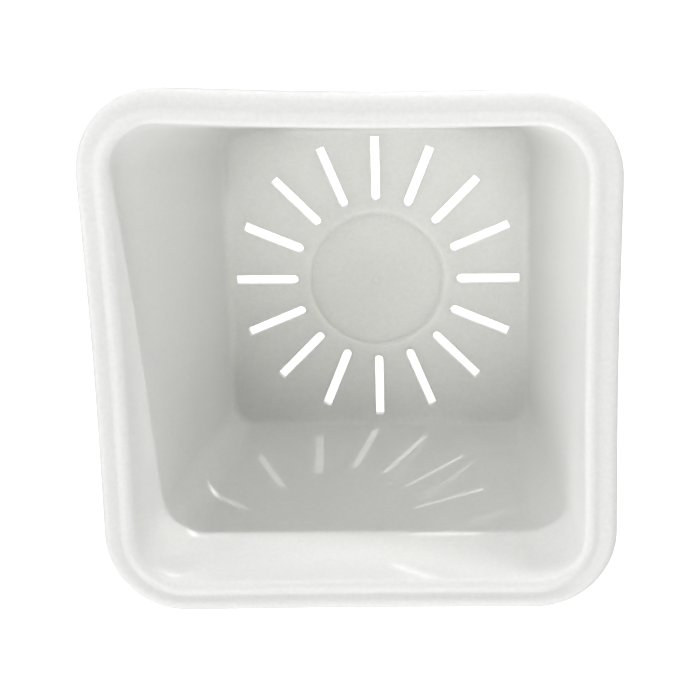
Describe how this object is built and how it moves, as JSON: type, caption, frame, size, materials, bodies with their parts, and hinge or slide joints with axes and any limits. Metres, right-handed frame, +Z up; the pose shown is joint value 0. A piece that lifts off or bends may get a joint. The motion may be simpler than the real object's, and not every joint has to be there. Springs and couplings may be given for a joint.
{
  "type": "cheese mold",
  "caption": "Square tapered tub of white plastic with rounded corners, a turned-down lip, a flat floor with a ring of radial drain slots, and low corner feet.",
  "frame": {"origin": "centre of the plane the four feet stand on", "axes": "+Z up, towards the open mouth; X and Y square to the side walls"},
  "size_m": [0.1466, 0.1466, 0.119],
  "materials": {
    "plastic": "natural white food-grade polyethylene, slightly translucent, satin"
  },
  "bodies": {
    "root": {"base_plate": "plastic", "centre_disc": "plastic", "front_wall": "plastic", "right_wall": "plastic", "back_wall": "plastic", "left_wall": "plastic", "wall_corners": "plastic", "rim_lip": "plastic", "corner_feet": "plastic"}
  },
  "joints": []
}
